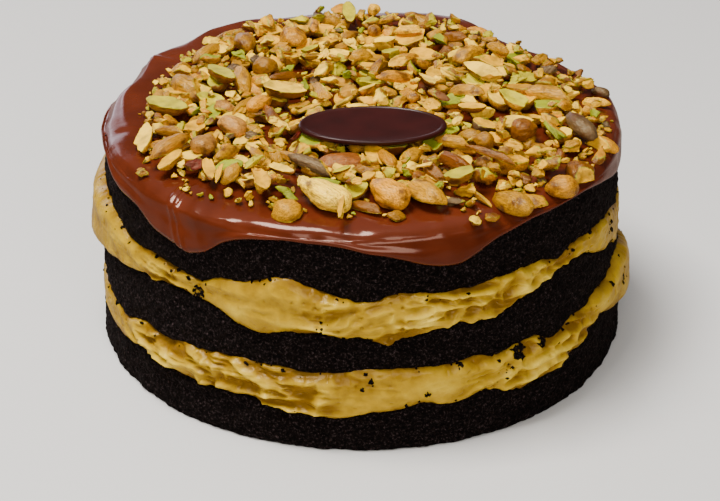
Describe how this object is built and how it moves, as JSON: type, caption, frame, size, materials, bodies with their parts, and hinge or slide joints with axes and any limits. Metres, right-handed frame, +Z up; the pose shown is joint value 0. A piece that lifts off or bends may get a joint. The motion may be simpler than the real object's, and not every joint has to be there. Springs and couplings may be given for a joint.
{
  "type": "layer_cake",
  "caption": "Round chocolate layer cake with bands of pistachio cream, poured ganache, chopped pistachios and an oval chocolate plaque",
  "frame": {"origin": "middle of the cake's foot, on its flat underside", "axes": "+Z up, the front of the cake faces -Y, +X to the right as seen from the front"},
  "size_m": [0.2072, 0.2036, 0.0979],
  "materials": {
    "chocolate_sponge": "matte crumb",
    "pistachio_cream": "satin",
    "ganache": "glossy",
    "pistachios": "satin",
    "dark_chocolate": "semi-gloss"
  },
  "bodies": {
    "root": {"sponge_bottom": "chocolate_sponge", "cream_lower": "pistachio_cream", "sponge_middle": "chocolate_sponge", "cream_upper": "pistachio_cream", "sponge_top": "chocolate_sponge", "ganache": "ganache", "nut_heap": "pistachios", "plaque": "dark_chocolate"}
  },
  "joints": []
}
